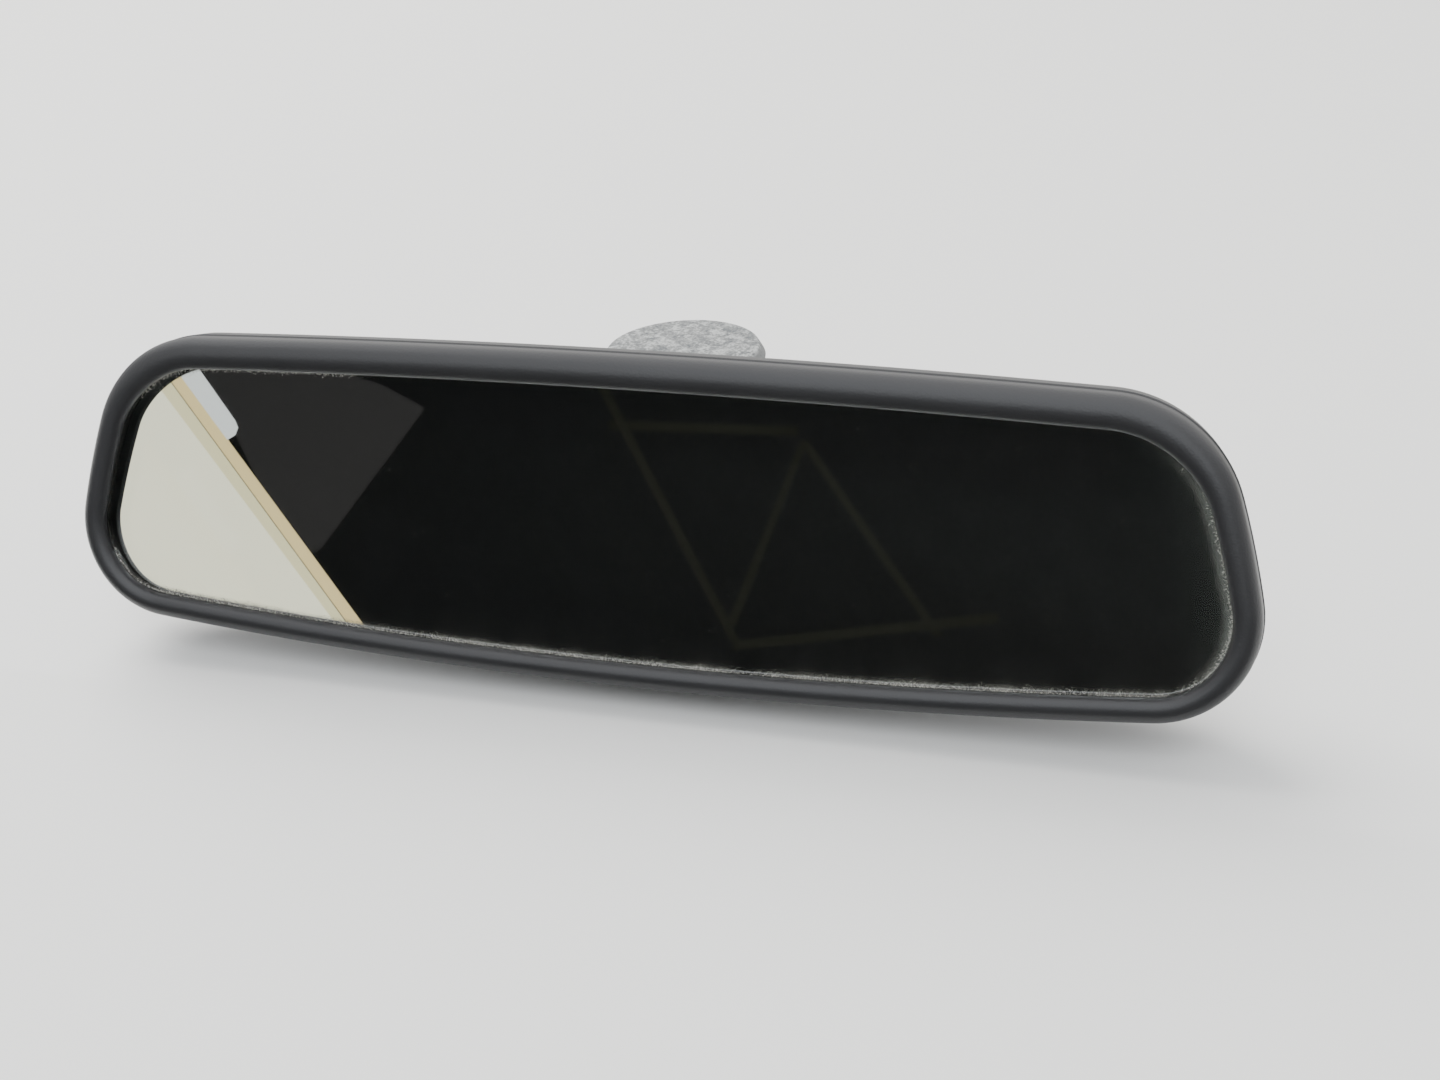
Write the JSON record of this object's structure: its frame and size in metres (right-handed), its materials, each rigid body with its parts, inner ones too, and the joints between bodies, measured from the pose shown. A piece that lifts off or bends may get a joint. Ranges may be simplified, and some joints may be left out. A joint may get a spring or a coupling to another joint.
{
  "type": "interior rearview mirror",
  "caption": "Interior rearview mirror: prismatic glass in a rounded trapezoid head, ball-jointed to a bonded round foot, with a day/night dipping lever under the head.",
  "frame": {"origin": "centre of the foot's flat bonding face", "axes": "+Z is the outward normal of the bonding face, away from the mirror; +X runs along the mirror to the right as seen facing the glass; the glass faces -Y, turned up by 15 degrees at rest"},
  "size_m": [0.2496, 0.0715, 0.0707],
  "materials": {
    "cast_zinc": "dull as-cast zinc with oxide and adhesive residue",
    "polished_steel": "smooth steel",
    "nylon": "natural nylon",
    "structural_plastic": "glass-filled plastic",
    "zinc_plated_steel": "zinc plated",
    "spring_steel": "spring steel",
    "felt": "felt",
    "shell_plastic": "fine grained moulded plastic",
    "bezel_plastic": "satin, fine grained",
    "glass": "clear polished wedge glass",
    "mirror_layer": "silvered",
    "adhesive_foam": "closed-cell foam tape",
    "rubber": "moulded rubber",
    "foam": "open-cell foam",
    "lever_plastic": "satin",
    "soft_grip": "soft-touch, ribbed"
  },
  "bodies": {
    "foot": {"mount_foot": "cast_zinc", "ball_stud": "polished_steel"},
    "liner": {"ball_liner": "nylon"},
    "seat": {"ball_seat": "nylon"},
    "bracket": {"toggle_bracket": "structural_plastic", "clamp_ring": "structural_plastic", "clamp_screws": "zinc_plated_steel", "spring_washers": "spring_steel", "felt_pads": "felt"},
    "head": {"rear_shell": "shell_plastic", "front_bezel": "bezel_plastic", "prism_glass": "glass", "silver_layer": "mirror_layer", "adhesive_sheet": "adhesive_foam", "hinge_rod": "polished_steel", "rod_clips": "spring_steel", "lever_pin": "polished_steel", "toggle_spring": "spring_steel", "spring_screw": "zinc_plated_steel", "rubber_bumpers": "rubber", "foam_blocks": "foam"},
    "lever": {"dip_lever": "lever_plastic", "lever_grip": "soft_grip"}
  },
  "joints": [
    {"name": "ball_tilt", "type": "hinge", "parent": "foot", "child": "liner", "pos_m": [0, -0.02342, -0.02601], "axis": [1, 0, 0], "range_deg": [-3, 45]},
    {"name": "ball_pan", "type": "hinge", "parent": "liner", "child": "seat", "pos_m": [0, -0.02342, -0.02601], "axis": [0, 0.2588, 0.9659], "range_deg": [-18, 18]},
    {"name": "ball_roll", "type": "hinge", "parent": "seat", "child": "bracket", "pos_m": [0, -0.02342, -0.02601], "axis": [0, 0.9659, -0.2588], "range_deg": [-10, 10]},
    {"name": "head_dip", "type": "hinge", "parent": "bracket", "child": "head", "pos_m": [0, -0.02671, -0.00546], "axis": [-1, 0, 0], "range_deg": [0, 4.2]},
    {"name": "lever_toggle", "type": "hinge", "parent": "head", "child": "lever", "pos_m": [0, -0.03546, -0.0497], "axis": [-1, 0, 0], "range_deg": [0, 30]}
  ],
  "couplings": [
    {"joint": "head_dip", "follows": "lever_toggle", "ratio": 0.14}
  ]
}
